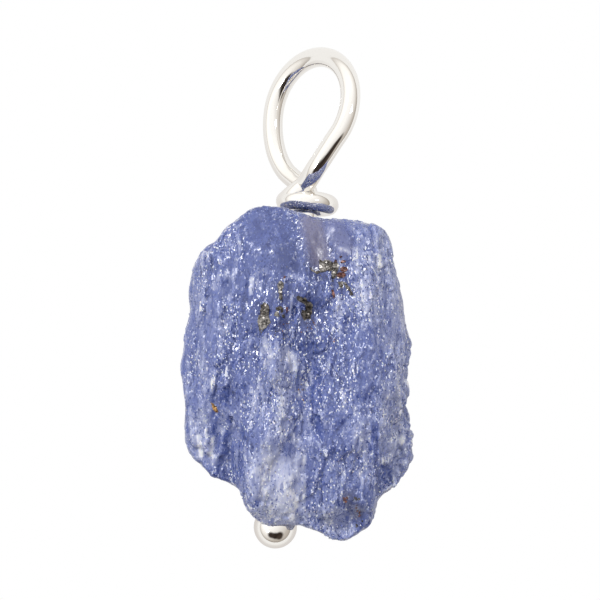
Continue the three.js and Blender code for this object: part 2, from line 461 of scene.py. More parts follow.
GRAIN_FINISHES = {
    Grain.GRAPHITE: GrainFinish("flaked_graphite", "2b2927", "a09b96", 0.5, 0.26),
    Grain.SOOTY: GrainFinish("sooty_graphite", "12100f", "6d6761", 0.5, 0.3),
    Grain.IRON_STAINED: GrainFinish("iron_stained_flake", "3a2019", "80564d", 0.35, 0.34),
    Grain.PYRITE: GrainFinish("weathered_pyrite", "5c3d1c", "d0a468", 0.7, 0.32),
    # near-white grains: painted glints on graphite cleavage
    Grain.BRIGHT: GrainFinish("graphite_cleavage_painted_glint", "d9d8d6", "ffffff", 0.9, 0.2),
}


@dataclass(frozen=True)
class SterlingFinish:
    """Sterling silver wire, drawn, bent by hand and tumble-polished: a white mirror.

    The eye sees slightly wavy reflections, for the wire was bent, and a few duller spots.
    """

    colour: str = "f0ede8"
    ripple_mm: float = 1.6
    ripple: float = 0.1
    ripple_depth_mm: float = 0.05
    roughness: Span = (0.3, 0.7, 0.042, 0.105)

    def material(self) -> bpy.types.Material:
        """Makes the silver's material.

        Returns:
            The new material.
        """
        made = bare_material("polished_sterling_silver")
        tree = made.node_tree
        place = add_node(tree, "ShaderNodeTexCoord").outputs["Object"]
        ripple = {"Vector": place, "Scale": 1.0 / (self.ripple_mm * MM), "Detail": 4.0, "Roughness": 0.55}
        ripple = add_node(tree, "ShaderNodeTexNoise", ripple).outputs["Fac"]
        bump = {"Height": ripple, "Strength": self.ripple, "Distance": self.ripple_depth_mm * MM}
        bump = add_node(tree, "ShaderNodeBump", bump)
        rough = {"Value": ripple, **dict(zip(SPAN_SOCKETS, self.roughness))}
        rough = add_node(tree, "ShaderNodeMapRange", rough)
        shader = add_node(
            tree,
            "ShaderNodeBsdfPrincipled",
            {
                "Base Color": linear(self.colour),
                "Metallic": 1.0,
                "Roughness": rough.outputs[0],
                "Normal": bump.outputs["Normal"],
            },
        )
        add_node(tree, "ShaderNodeOutputMaterial", {"Surface": shader.outputs[0]})
        return made


# a zone fades out between these shares of its width
ZONE_EDGE = (0.35, 1.45)


@dataclass(frozen=True)
class Zone:
    """A soft patch along a line on the crystal's front, in mm, with looks of its own.

    It is paler or deeper, calmer, greyer, stained or lumpier than the rest.
    """

    line: tuple[tuple[float, float], ...]
    width: float
    frost: float = 0.0
    calm: float = 0.0
    lilac: float = 0.0
    stain: float = 0.0
    lumps: float = 0.0

    def weight(self, points: np.ndarray) -> np.ndarray:
        """Tells how much of a place is in the zone.

        Args:
            points: (n, 3) places in mm.

        Returns:
            (n,) numbers from 0 to 1.
        """
        nearest = np.full(len(points), np.inf)
        flat = points[:, :2]
        for start, end in zip(self.line[:-1], self.line[1:]):
            a, b = np.array(start), np.array(end)
            along = np.clip(((flat - a) @ (b - a)) / ((b - a) @ (b - a)), 0.0, 1.0)
            nearest = np.minimum(nearest, np.linalg.norm(flat - a - along[:, None] * (b - a), axis=1))
        return 1.0 - smoothstep(nearest, ZONE_EDGE[0] * self.width, ZONE_EDGE[1] * self.width)


ZONES = (
    # the broad parts of the front
    Zone(((-1.6, 4.0), (-1.0, 2.4)), 1.2, frost=-0.2, calm=0.7),
    Zone(((0.8, 3.8), (1.2, 2.0)), 0.6, frost=-0.1, calm=0.9, lilac=0.8),
    Zone(((1.9, 3.5), (2.4, 2.5)), 0.6, frost=-0.13, calm=0.9, lilac=0.3),
    Zone(((-2.6, 3.4), (-2.5, -1.6)), 0.7, frost=-0.1),
    Zone(((0.4, 2.4), (1.2, -1.6)), 1.2, frost=-0.1),
    Zone(((3.7, 3.0), (3.6, 0.5)), 0.9, frost=0.07),
    Zone(((3.0, -1.4), (2.9, -3.8)), 0.5, frost=-0.14),
    Zone(((4.2, -2.6), (4.3, -4.8)), 0.5, frost=0.1),
    Zone(((4.5, 3.2), (5.0, -1.0), (5.2, -4.5)), 0.6, frost=0.17),
    Zone(((-4.8, 2.2), (-5.1, -4.2)), 0.6, frost=0.08),
    # painted shade along the groove down the left
    Zone(((-3.0, -2.1), (-3.4, -5.0), (-3.9, -6.4), (-3.7, -7.4)), 0.5, frost=-0.16),
    Zone(((-0.6, 1.5), (0.6, -1.6), (1.6, -4.5), (1.4, -7.0)), 1.1, frost=-0.1),
    Zone(((-1.4, -2.0), (-0.6, -5.0), (-0.9, -7.0), (-1.3, -7.7)), 0.55, frost=0.16),
    Zone(((-1.0, -8.8), (-0.9, -10.6)), 1.2, frost=0.36, calm=0.5),
    Zone(((0.4, -10.8), (2.3, -11.5)), 0.8, frost=0.16),
    Zone(((-4.6, -6.3), (-4.4, -7.8)), 0.9, frost=0.18),
    # painted shade on the down-facing face of the lower-left ledge
    Zone(((-5.0, -8.5), (-3.0, -9.3)), 0.4, frost=-0.14),
    Zone(((3.2, -6.6), (3.3, -8.6)), 0.8, frost=0.14),
    Zone(((-2.2, -9.9), (-2.1, -10.6)), 0.4, frost=0.1),
    Zone(((0.6, -5.6), (0.9, -7.8)), 0.6, frost=0.12),
    Zone(((-0.3, -3.0), (0.4, -4.3)), 0.35, frost=0.16),
    Zone(((-1.8, -4.4), (-1.7, -6.0)), 0.5, frost=0.15),
    Zone(((-2.4, -0.2), (-2.2, -4.3)), 0.4, frost=-0.12),
    Zone(((-1.2, -1.5), (1.2, -1.4)), 0.4, frost=-0.13),
    Zone(((1.2, 2.6), (1.25, 1.7)), 0.4, frost=-0.12),
    Zone(((3.8, 0.5), (3.9, -1.0)), 0.5, frost=0.16),
    Zone(((-1.5, 2.0), (-1.6, 1.5)), 0.35, frost=0.13),
    Zone(((-2.3, 4.0), (-2.4, 3.4)), 0.35, frost=0.12),
    Zone(((1.2, 1.0), (1.9, 0.2)), 0.4, frost=-0.1),
    Zone(((0.2, -7.2), (0.3, -9.8)), 0.35, frost=0.08),
    # the recess at the lower right, with a painted shadow line beside it
    Zone(((4.9, -5.8), (4.9, -9.2)), 0.9, frost=0.2, lumps=1.0),
    Zone(((5.5, -2.6), (5.7, -5.0), (5.4, -9.2)), 0.5, frost=0.04, lumps=0.8),
    # the painted shadow line along the recess's left side
    Zone(((3.9, -6.3), (4.2, -9.8)), 0.16, frost=-0.34),
    Zone(((4.6, -8.4), (4.4, -9.4)), 0.35, frost=-0.12),
    # lines in the surface
    Zone(((2.85, 2.95), (2.75, 2.2)), 0.07, frost=-0.4),
    Zone(((0.5, -7.9), (0.45, -10.5)), 0.1, frost=0.25),
    Zone(((0.65, -7.9), (0.6, -10.5)), 0.12, frost=-0.16),
    Zone(((2.7, -7.6), (2.8, -10.6)), 0.25, frost=-0.1),
    # painted shade round the grains, where they would sit in pits
    Zone(((-1.6, -0.4), (-1.5, -1.8)), 0.5, frost=-0.2),
    Zone(((-0.7, 0.4), (-0.7, -1.6)), 0.5, frost=-0.18),
    Zone(((0.3, 0.0), (0.6, -1.0)), 0.5, frost=-0.14),
    Zone(((1.2, 1.3), (2.6, 0.6)), 0.5, frost=-0.18),
    # the stain on the tongue
    Zone(((2.6, -9.9), (3.1, -10.7)), 0.4, stain=0.45),
    # bruised white chips
    Zone(((-2.17, 0.95), (-2.22, 0.2)), 0.12, frost=0.5),
    Zone(((-4.78, -6.9), (-4.72, -7.9)), 0.13, frost=0.6),
    Zone(((-4.12, -7.0), (-4.18, -7.9)), 0.12, frost=0.55),
    Zone(((-3.5, -5.6), (-3.7, -6.6)), 0.25, frost=0.3),
    Zone(((2.2, 2.45), (2.65, 2.28)), 0.1, frost=0.55),
    Zone(((4.1, 2.0), (4.15, 1.3)), 0.12, frost=0.4),
    Zone(((2.1, 0.0), (2.3, -1.0)), 0.16, frost=0.35),
    Zone(((2.05, -1.0), (2.2, -1.8)), 0.1, frost=0.4),
    Zone(((3.2, 0.6), (3.4, -1.2)), 0.3, frost=0.14),
    Zone(((-0.2, 0.3), (-0.25, -0.9)), 0.09, frost=0.45),
    Zone(((-0.3, 1.1), (0.35, 0.9)), 0.18, frost=0.3),
    Zone(((-1.5, -2.1), (-1.2, -2.8)), 0.22, frost=0.28),
    Zone(((-0.5, -2.5), (-0.1, -3.5)), 0.22, frost=0.3),
    Zone(((0.7, -3.6), (0.8, -4.2)), 0.12, frost=0.4),
    Zone(((-0.7, -5.0), (-0.65, -6.9)), 0.2, frost=0.16),
    Zone(((-0.1, -9.7), (0.15, -10.4)), 0.14, frost=0.25),
    Zone(((2.25, -4.6), (2.4, -5.2)), 0.1, frost=0.45),
    Zone(((-3.9, 1.0), (-4.0, 0.5)), 0.2, frost=0.25),
    Zone(((-3.4, -1.1), (-3.5, -1.7)), 0.14, frost=0.2),
    Zone(((-2.9, 1.9), (-3.1, 0.9)), 0.15, frost=0.25),
    Zone(((-4.6, -3.2), (-4.3, -4.4)), 0.3, frost=0.16),
)


@dataclass
class Crystal:
    """The rough crystal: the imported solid's surface on an even fine grid, chipped and striated."""

    node: str = "tanzanite"
    grid_mm: float = 0.105
    weld_mm: float = 0.001
    soften: int = 10
    # sideways lean of the chips for each mm along the crystal
    slant: float = -0.06
    # relief in mm
    big: Chips = Chips((0.8, 2.6, 0.8), 100, lift=0.07, lean=0.13)
    small: Chips = Chips((0.32, 0.75, 0.32), 200, lift=0.04, lean=0.075)
    knobs: Chips = Chips((0.55, 0.7, 0.55), 300, lift=0.1)
    knob_crown: float = 0.16
    knob_sink: float = 0.1
    swell: Wave = Wave((1.1, 3.0, 1.1), 31, 0.07)
    stria: Wave = Wave((0.35, 1.8, 0.35), 32, 0.012)
    fibre: Wave = Wave((0.2, 0.5, 0.2), 33, 0.008)
    calmed_relief: float = 0.75
    side_relief: float = 0.45
    # frosting: its usual share, and what clouds, bruises, high spots, the outline and bright knobs add; the
    # low spots get painted shade, the outline a painted glow as well as frost, and the knobs painted
    # highlights
    frost: float = 0.405
    cloud: Wave = Wave((0.6, 1.7, 0.6), 34, 0.085, 0.5)
    bruise: Wave = Wave((0.3, 0.7, 0.3), 35, 0.2, 0.8)
    side_clouds: tuple[Wave, ...] = (Wave((2.2, 5.0, 2.2), 36, 0.16), Wave((0.9, 2.6, 0.9), 37, 0.12))
    proud_frost_and_hollow_shade: float = 0.085
    proud_mm: float = 0.05
    proud_most: float = 1.6
    proud_rounds: int = 12
    proud_calmed: float = 0.6
    outline_frost_and_glow: float = 0.12
    knob_painted_highlight: float = 0.5
    # where each of them starts and is full
    front_facing: Range = (0.0, 0.5)
    lumps_facing: Range = (-0.7, -0.2)
    relief_facing: Range = (0.1, 0.5)
    outline_turn: Range = (0.45, 1.0)
    bruise_edge: Range = (0.45, 0.8)
    knob_crown_edge: Range = (0.0, 0.5)
    knob_highlight_lift: Range = (0.3, 0.8)
    knob_highlight_edge: Range = (0.2, 0.6)
    points: np.ndarray = field(default_factory=lambda: np.zeros((0, 3)))
    faces: np.ndarray = field(default_factory=lambda: np.zeros((0, 4), int))

    def even_surface(self) -> None:
        """Fills points and faces with the solid's surface, in mm, as even quads."""
        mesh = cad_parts[self.node].data.copy()
        mesh.transform(Matrix.Scale(1.0 / MM, 4))
        rough = bpy.data.objects.new("crystal_grid", mesh)
        bpy.context.scene.collection.objects.link(rough)
        weld = rough.modifiers.new("weld", "WELD")
        weld.merge_threshold = self.weld_mm
        even = rough.modifiers.new("even", "REMESH")
        even.mode = "VOXEL"
        even.voxel_size = self.grid_mm
        made = rough.evaluated_get(bpy.context.evaluated_depsgraph_get()).to_mesh()
        self.points = np.zeros(len(made.vertices) * 3)
        made.vertices.foreach_get("co", self.points)
        self.points = self.points.reshape(-1, 3)
        self.faces = np.array([p.vertices[:] for p in made.polygons])
        bpy.data.objects.remove(rough)
        bpy.data.meshes.remove(mesh)

    def normals(self) -> np.ndarray:
        """Works out the directions out of the surface.

        Returns:
            (n, 3) outward normals of the points.
        """
        corners = self.points[self.faces]
        across = np.cross(corners[:, 2] - corners[:, 0], corners[:, 3] - corners[:, 1])
        total = np.zeros_like(self.points)
        for i in range(4):
            np.add.at(total, self.faces[:, i], across)
        return total / np.maximum(np.linalg.norm(total, axis=1), 1e-12)[:, None]

    def averaged(self, values: np.ndarray, times: int) -> np.ndarray:
        """Averages values of the points with their neighbours'.

        Args:
            values: (n, k) values.
            times: how often.

        Returns:
            (n, k) smoothed values.
        """
        ends = np.concatenate([self.faces, np.roll(self.faces, -1, axis=1)]).reshape(-1)
        starts = np.concatenate([np.roll(self.faces, -1, axis=1), self.faces]).reshape(-1)
        share = np.bincount(ends, minlength=len(values)).astype(float)[:, None]
        for _ in range(times):
            columns = [np.bincount(ends, column[starts], len(values)) for column in values.T]
            values = 0.5 * values + 0.5 * np.stack(columns, axis=1) / share
        return values

    def zoned(self, normal: np.ndarray) -> dict[str, np.ndarray]:
        """Adds up the zones of the front.

        Args:
            normal: (n, 3) outward normals of the points.

        Returns:
            Each point's frosting, and how calm, lilac, stained and lumpy it is, by name, each (n,).
        """
        front = smoothstep(normal @ FRONT, *self.front_facing)
        lumpy = smoothstep(normal @ FRONT, *self.lumps_facing)
        frost = np.full(len(normal), self.frost)
        calm, lilac, stain, lumps = np.zeros((4, len(normal)))
        for zone in ZONES:
            inside = zone.weight(self.points)
            weight = inside * front
            calm = np.maximum(calm, zone.calm * weight)
            lilac = np.maximum(lilac, zone.lilac * weight)
            stain = np.maximum(stain, zone.stain * weight)
            lumps = np.maximum(lumps, zone.lumps * inside * lumpy)
            frost += zone.frost * weight
        return {"frost": frost, "calm": calm, "lilac": lilac, "stain": stain, "lumps": lumps}

    def chip(self) -> dict[str, np.ndarray]:
        """Breaks the surface into chips and striations.

        Returns:
            What the finish needs to know of each point, by name, each (n,) from 0 to 1.
        """
        self.points = self.averaged(self.points, self.soften)
        normal = self.normals()
        facing = np.abs(normal @ FRONT)
        looks = self.zoned(normal)
        lumps = looks.pop("lumps")
        calm = looks["calm"]
        slant = self.points @ np.array(((1.0, 0.0, 0.0), (self.slant, 1.0, 0.0), (0.0, 0.0, 1.0)))
        big, small, knobs = (Splinters.over(slant, chips) for chips in (self.big, self.small, self.knobs))

        lift = self.swell.strength * self.swell.over(slant)
        for chips, broken in ((self.big, big), (self.small, small)):
            lift += chips.lift * broken.lift + chips.lean * broken.lean
        lift += self.stria.strength * (1.0 - 2.0 * np.abs(self.stria.over(slant)))
        lift += self.fibre.strength * self.fibre.over(slant)
        turned = smoothstep(facing, *self.relief_facing)
        lift *= (1.0 - self.calmed_relief * calm) * (self.side_relief + (1.0 - self.side_relief) * turned)
        crown = self.knob_crown * smoothstep(knobs.border, *self.knob_crown_edge)
        lift += lumps * (self.knobs.lift * knobs.lift + crown - self.knob_sink)
        self.points = self.points + normal * lift[:, None]
        self.points[:, 2] = np.maximum(self.points[:, 2], 0.0)

        frost = looks["frost"]
        # high spots turn paler and low spots darker: frosting on the ridges and painted shade in the hollows
        proud = (lift - self.averaged(lift[:, None], self.proud_rounds)[:, 0]) / self.proud_mm
        proud = np.clip(proud, -self.proud_most, self.proud_most)
        frost += self.proud_frost_and_hollow_shade * proud * (1.0 - self.proud_calmed * calm)
        frost += self.cloud.strength * self.cloud.over(slant) * (1.0 - self.cloud.calmed * calm)
        around = 1.0 - smoothstep(normal @ FRONT, *self.front_facing)
        for wave in self.side_clouds:
            frost += around * wave.strength * wave.over(slant)
        bruised = smoothstep(self.bruise.over(slant), *self.bruise_edge)
        frost += self.bruise.strength * bruised * (1.0 - self.bruise.calmed * calm)
        # lighter round the outline: frosted thin edges and a painted glow of light through them
        frost += self.outline_frost_and_glow * smoothstep(1.0 - facing, *self.outline_turn)
        # painted highlights: whiter crowns on the higher knobs of the recess, for their glints
        painted_knob_glint = smoothstep(knobs.lift, *self.knob_highlight_lift)
        painted_knob_glint *= smoothstep(knobs.border, *self.knob_highlight_edge)
        frost += self.knob_painted_highlight * lumps * painted_knob_glint
        looks["frost"] = np.clip(frost, 0.0, 1.0)
        return looks

    def build(self) -> bpy.types.Object:
        """Makes the crystal, which stands for its solid.

        Returns:
            The finished piece.
        """
        self.even_surface()
        looks = self.chip()
        points = (self.points * MM).tolist()
        made = add_mesh("tanzanite_crystal", points, self.faces.tolist(), [TanzaniteFinish().material()])
        made.data.shade_smooth()
        for name, values in looks.items():
            attribute = made.data.attributes.new(name, "FLOAT", "POINT")
            attribute.data.foreach_set("value", values.astype(np.float32))
        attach(made, "root")
        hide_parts(self.node)
        log.info("crystal: %d faces", len(self.faces))
        return made


@dataclass(frozen=True)
class Flake:
    """A grain laid bare in the crystal's front: its outline in mm and how far it stands out."""

    kind: Grain
    outline: tuple[tuple[float, float], ...]
    rise: float


FLAKES = (
    Flake(
        Grain.GRAPHITE,
        (
            (-1.83, -0.88), (-1.52, -0.79), (-1.32, -0.82), (-1.31, -1.02), (-1.22, -1.26),
            (-1.43, -1.46), (-1.62, -1.66), (-1.77, -1.88), (-1.80, -1.57), (-1.88, -1.23),
        ),
        0.06,
    ),
    Flake(
        Grain.SOOTY,
        (
            (-1.73, -0.35), (-1.52, -0.25), (-1.34, -0.35), (-1.27, -0.57), (-1.32, -0.84),
            (-1.57, -0.88), (-1.78, -0.85), (-1.73, -0.57),
        ),
        0.08,
    ),
    Flake(
        Grain.GRAPHITE,
        (
            (-0.93, 0.62), (-0.78, 0.83), (-0.62, 0.78), (-0.57, 0.62), (-0.67, 0.41),
            (-0.65, 0.23), (-0.78, 0.15), (-0.87, 0.28), (-0.83, 0.40),
        ),
        0.07,
    ),
    Flake(
        Grain.SOOTY,
        (
            (-0.79, 0.17), (-0.66, 0.19), (-0.63, -0.09), (-0.74, -0.16), (-0.81, -0.03),
        ),
        0.07,
    ),
    Flake(Grain.IRON_STAINED, ((-0.63, 0.93), (-0.57, 1.06), (-0.48, 1.06), (-0.53, 0.93)), 0.06),
    Flake(
        Grain.SOOTY,
        (
            (-0.97, -0.49), (-0.78, -0.42), (-0.61, -0.49), (-0.58, -0.68), (-0.68, -0.76),
            (-0.82, -0.66), (-0.96, -0.62),
        ),
        0.08,
    ),
    Flake(
        Grain.GRAPHITE,
        (
            (-0.98, -0.69), (-0.82, -0.68), (-0.82, -0.82), (-0.78, -0.94), (-0.97, -0.95),
            (-1.07, -0.89),
        ),
        0.05,
    ),
    Flake(
        Grain.SOOTY,
        (
            (-0.66, -0.86), (-0.54, -0.85), (-0.53, -0.96), (-0.59, -1.05), (-0.67, -0.99),
        ),
        0.06,
    ),
    Flake(Grain.IRON_STAINED, ((-0.47, -0.47), (-0.36, -0.49), (-0.38, -0.74), (-0.47, -0.76)), 0.04),
    Flake(
        Grain.SOOTY,
        (
            (0.04, 0.03), (0.14, 0.11), (0.23, 0.03), (0.32, 0.06), (0.38, -0.04),
            (0.48, 0.03), (0.56, -0.09), (0.61, -0.23), (0.51, -0.36), (0.38, -0.29),
            (0.23, -0.23), (0.07, -0.12),
        ),
        0.08,
    ),
    Flake(
        Grain.SOOTY,
        (
            (0.53, -0.33), (0.61, -0.17), (0.78, -0.23), (0.88, -0.36), (0.83, -0.59),
            (0.72, -0.64), (0.53, -0.64), (0.47, -0.53),
        ),
        0.10,
    ),
    Flake(
        Grain.SOOTY,
        (
            (0.33, -0.62), (0.53, -0.61), (0.82, -0.62), (0.84, -0.78), (0.76, -0.89),
            (0.76, -1.07), (0.57, -1.05), (0.48, -1.16), (0.37, -1.05), (0.28, -0.88),
            (0.27, -0.76),
        ),
        0.10,
    ),
    Flake(
        Grain.GRAPHITE,
        (
            (1.18, 1.43), (1.19, 1.68), (1.18, 1.89), (1.33, 1.82), (1.48, 1.89),
            (1.73, 1.82), (1.87, 1.74), (1.91, 1.52), (1.78, 1.31), (1.57, 1.33),
            (1.38, 1.27), (1.23, 1.26),
        ),
        0.08,
    ),
    Flake(
        Grain.SOOTY,
        (
            (0.71, 1.52), (0.82, 1.43), (0.97, 1.31), (1.18, 1.33), (1.22, 1.23),
            (1.07, 1.15), (0.93, 1.24), (0.78, 1.35),
        ),
        0.05,
    ),
    Flake(
        Grain.GRAPHITE,
        (
            (1.86, 1.74), (2.03, 1.85), (2.12, 1.68), (2.14, 1.43), (2.06, 1.19),
            (1.98, 0.93), (1.82, 0.99), (1.76, 1.19), (1.83, 1.43),
        ),
        0.10,
    ),
    Flake(
        Grain.IRON_STAINED,
        (
            (1.91, 1.76), (1.98, 1.89), (2.08, 1.81), (2.07, 1.62), (1.97, 1.62),
        ),
        0.09,
    ),
    Flake(
        Grain.IRON_STAINED,
        (
            (2.22, 1.76), (2.33, 1.86), (2.51, 1.84), (2.44, 1.71), (2.26, 1.69),
        ),
        0.09,
    ),
    Flake(
        Grain.IRON_STAINED,
        (
            (2.21, 1.46), (2.38, 1.52), (2.57, 1.49), (2.61, 1.34), (2.44, 1.26),
            (2.24, 1.31),
        ),
        0.10,
    ),
    Flake(
        Grain.IRON_STAINED,
        (
            (2.06, 1.18), (2.17, 1.27), (2.41, 1.24), (2.51, 1.11), (2.38, 0.99),
            (2.17, 0.97), (2.07, 1.03),
        ),
        0.09,
    ),
    Flake(Grain.SOOTY, ((1.76, 1.06), (1.86, 1.09), (1.93, 0.93), (1.82, 0.91)), 0.05),
    Flake(Grain.GRAPHITE, ((2.11, 0.76), (2.33, 0.81), (2.38, 0.64), (2.33, 0.46), (2.17, 0.54)), 0.06),
    Flake(
        Grain.GRAPHITE,
        (
            (2.38, 0.74), (2.51, 0.76), (2.68, 0.53), (2.78, 0.36), (2.69, 0.26),
            (2.58, 0.36), (2.46, 0.54),
        ),
        0.09,
    ),
    Flake(Grain.SOOTY, ((2.69, 0.26), (2.79, 0.36), (2.89, 0.19), (2.81, 0.06), (2.68, 0.14)), 0.09),
    Flake(
        Grain.IRON_STAINED,
        (
            (1.76, 0.39), (1.89, 0.38), (1.98, 0.01), (1.88, -0.04), (1.82, 0.17),
        ),
        0.04,
    ),
    Flake(Grain.IRON_STAINED, ((2.17, 2.04), (2.27, 2.08), (2.31, 1.99), (2.22, 1.94)), 0.05),
    Flake(
        Grain.PYRITE,
        (
            (-4.22, -5.22), (-4.08, -5.28), (-3.92, -5.47), (-3.83, -5.72), (-3.98, -5.72),
            (-4.12, -5.53),
        ),
        0.06,
    ),
)


@dataclass(frozen=True)
class Crumbs:
    """A sprinkling of small grains on the crystal's front.

    Its middle, half sizes and the grains' size are in mm, and its turn is in degrees.
    """

    kind: Grain
    middle: tuple[float, float]
    half: tuple[float, float]
    turn: float
    count: int
    size: float


CRUMBS = (
    # near-white crumbs placed as painted glints
    Crumbs(Grain.BRIGHT, (2.16, 1.58), (0.05, 0.06), 0.0, 3, 0.13),
    Crumbs(Grain.BRIGHT, (2.12, 0.96), (0.04, 0.04), 0.0, 2, 0.1),
    Crumbs(Grain.BRIGHT, (-1.39, -0.57), (0.06, 0.06), 0.0, 3, 0.12),
    Crumbs(Grain.BRIGHT, (-0.9, -0.74), (0.05, 0.04), 0.0, 2, 0.11),
    Crumbs(Grain.BRIGHT, (0.48, -0.3), (0.04, 0.04), 0.0, 2, 0.11),
    Crumbs(Grain.BRIGHT, (2.6, 0.3), (0.1, 0.1), 0.0, 2, 0.07),
    Crumbs(Grain.SOOTY, (1.5, 0.95), (0.5, 0.25), -20.0, 5, 0.07),
    Crumbs(Grain.SOOTY, (-0.85, -1.8), (0.3, 0.25), 0.0, 9, 0.08),
    Crumbs(Grain.IRON_STAINED, (-0.4, -1.5), (0.9, 0.35), 0.0, 10, 0.06),
    Crumbs(Grain.IRON_STAINED, (0.75, -1.4), (0.25, 0.3), 0.0, 7, 0.07),
    Crumbs(Grain.IRON_STAINED, (1.8, -2.0), (0.2, 0.3), 0.0, 6, 0.06),
    Crumbs(Grain.PYRITE, (0.28, -4.75), (0.14, 0.42), 15.0, 8, 0.07),
    Crumbs(Grain.IRON_STAINED, (2.46, -10.0), (0.12, 0.16), 0.0, 6, 0.1),
    Crumbs(Grain.SOOTY, (3.05, -10.0), (0.16, 0.1), 0.0, 6, 0.11),
    Crumbs(Grain.IRON_STAINED, (3.1, -10.6), (0.1, 0.3), 10.0, 8, 0.09),
    Crumbs(Grain.SOOTY, (3.2, -11.25), (0.2, 0.2), 0.0, 6, 0.08),
    Crumbs(Grain.SOOTY, (0.0, -4.0), (4.5, 6.0), 0.0, 60, 0.05),
)


@dataclass
class MineralGrains:
    """The dark grains that the crystal grew round, broken open at its surface. Sizes are in mm."""

    crystal: bpy.types.Object
    seed: int = 11
    # flakes: the step along an outline, how deep they go in, and how ragged and uneven they are
    spacing: float = 0.085
    depth: float = 0.07
    ragged: float = 0.2
    rim_rise: float = 0.25
    uneven_rise: Range = (0.35, 1.5)
    same_point: float = 1e-5
    # crumbs: the fewest sides and the first count too many, then how their shape and size vary
    crumb_sides: tuple[int, int] = (5, 8)
    crumb_radius: Range = (0.35, 0.75)
    crumb_thick: Range = (0.25, 0.4)
    crumb_top: Range = (0.5, 1.2)
    crumb_taper: float = 0.72
    crumb_skew: float = 0.3
    crumb_lean: float = 0.35
    crumb_spread: Range = (0.6, 1.4)
    # a place well above the pendant, to look down from
    above: float = 50.0
    front: BVHTree = field(init=False)
    points: list[Vector] = field(default_factory=list)
    faces: list[tuple[int, ...]] = field(default_factory=list)
    kinds: list[int] = field(default_factory=list)

    def __post_init__(self) -> None:
        """Takes in the crystal's surface."""
        self.front = BVHTree.FromObject(self.crystal, bpy.context.evaluated_depsgraph_get())

    def surface(self, x: float, y: float) -> tuple[Vector, Vector] | None:
        """Finds the crystal's front.

        Args:
            x: the place to look at, in mm.
            y: the place to look at, in mm.

        Returns:
            The place on the front in metres and the direction out of it, or None beside the crystal.
        """
        start = Vector((x * MM, y * MM, self.above * MM))
        hit, normal, _, _ = self.front.ray_cast(start, Vector((0, 0, -1)))
        return None if hit is None else (hit, normal)

    def add(self, points: list[Vector], faces: list[tuple[int, ...]], kind: Grain) -> None:
        """Adds one closed grain.

        Args:
            points: its points in metres.
            faces: its faces, as numbers of its points.
            kind: its mineral.
        """
        start = len(self.points)
        self.points += points
        self.faces += [tuple(start + i for i in face) for face in faces]
        self.kinds += [kind.value] * len(faces)

    def add_flake(self, flake: Flake, draw: np.random.Generator) -> None:
        """Lays a ragged, faceted flake into the crystal's front.

        Args:
            flake: the flake.
            draw: gives the random numbers.
        """
        ring: list[tuple[float, float]] = []
        for (ax, ay), (bx, by) in zip(flake.outline, flake.outline[1:] + flake.outline[:1]):
            parts = max(1, round(math.hypot(bx - ax, by - ay) / self.spacing))
            for i in range(parts):
                shake = draw.uniform(-self.ragged, self.ragged, 2) * self.spacing
                ring.append((ax + (bx - ax) * i / parts + shake[0], ay + (by - ay) * i / parts + shake[1]))
        low = np.min(flake.outline, axis=0)
        high = np.max(flake.outline, axis=0)
        count = int(np.prod(high - low) / self.spacing**2)
        inner = [tuple(p) for p in draw.uniform(low, high, (count, 2))]
        flat = [Vector(p) for p in ring + inner]
        rim = [(i, (i + 1) % len(ring)) for i in range(len(ring))]
        made, _, triangles, _, _, _ = delaunay_2d_cdt(flat, rim, [], 1, self.same_point)
        edges = {(a, b): None for t in triangles for a, b in zip(t, t[1:] + t[:1])}
        border = [(a, b) for a, b in edges if (b, a) not in edges]
        at_border = {i for edge in border for i in edge}
        top: list[Vector] = []
        bottom: list[Vector] = []
        for i, p in enumerate(made):
            found = self.surface(p.x, p.y)
            if found is None:
                return
            share = self.rim_rise if i in at_border else draw.uniform(*self.uneven_rise)
            top.append(found[0] + Vector((0, 0, share * flake.rise * MM)))
            bottom.append(found[0] - Vector((0, 0, self.depth * MM)))
        n = len(top)
        faces = [tuple(t) for t in triangles]
        faces += [tuple(n + i for i in reversed(t)) for t in triangles]
        faces += [(b, a, n + a, n + b) for a, b in border]
        self.add(top + bottom, faces, flake.kind)

    def add_crumb(self, at: Vector, size: float, kind: Grain, draw: np.random.Generator) -> None:
        """Sets one small angular grain into the crystal's front.

        Args:
            at: its place in mm.
            size: its size in mm.
            kind: its mineral.
            draw: gives the random numbers.
        """
        sides = int(draw.integers(*self.crumb_sides))
        spread = size * draw.uniform(*self.crumb_radius, sides)
        skew = draw.uniform(-self.crumb_skew, self.crumb_skew, sides)
        angles = (np.arange(sides) + skew) * (2 * math.pi / sides)
        thick = size * draw.uniform(*self.crumb_thick)
        ring = np.stack([spread * np.cos(angles), spread * np.sin(angles)], axis=1)
        tops = thick * draw.uniform(*self.crumb_top, sides)
        made = [Vector((*(self.crumb_taper * ring[i]), tops[i])) for i in range(sides)]
        made += [Vector((*ring[i], -thick)) for i in range(sides)]
        made += [Vector((0.0, 0.0, thick)), Vector((0.0, 0.0, -thick))]
        faces: list[tuple[int, ...]] = []
        for i in range(sides):
            j = (i + 1) % sides
            faces += [(i, j, 2 * sides), (i, sides + i, sides + j, j), (sides + j, sides + i, 2 * sides + 1)]
        facing = Vector(draw.uniform(-self.crumb_lean, self.crumb_lean, 3))
        found = self.surface(at.x, at.y)
        if found is None:
            return
        place = (found[1] + facing).normalized().to_track_quat("Z", "Y").to_matrix()
        self.add([found[0] + (place @ p) * MM for p in made], faces, kind)

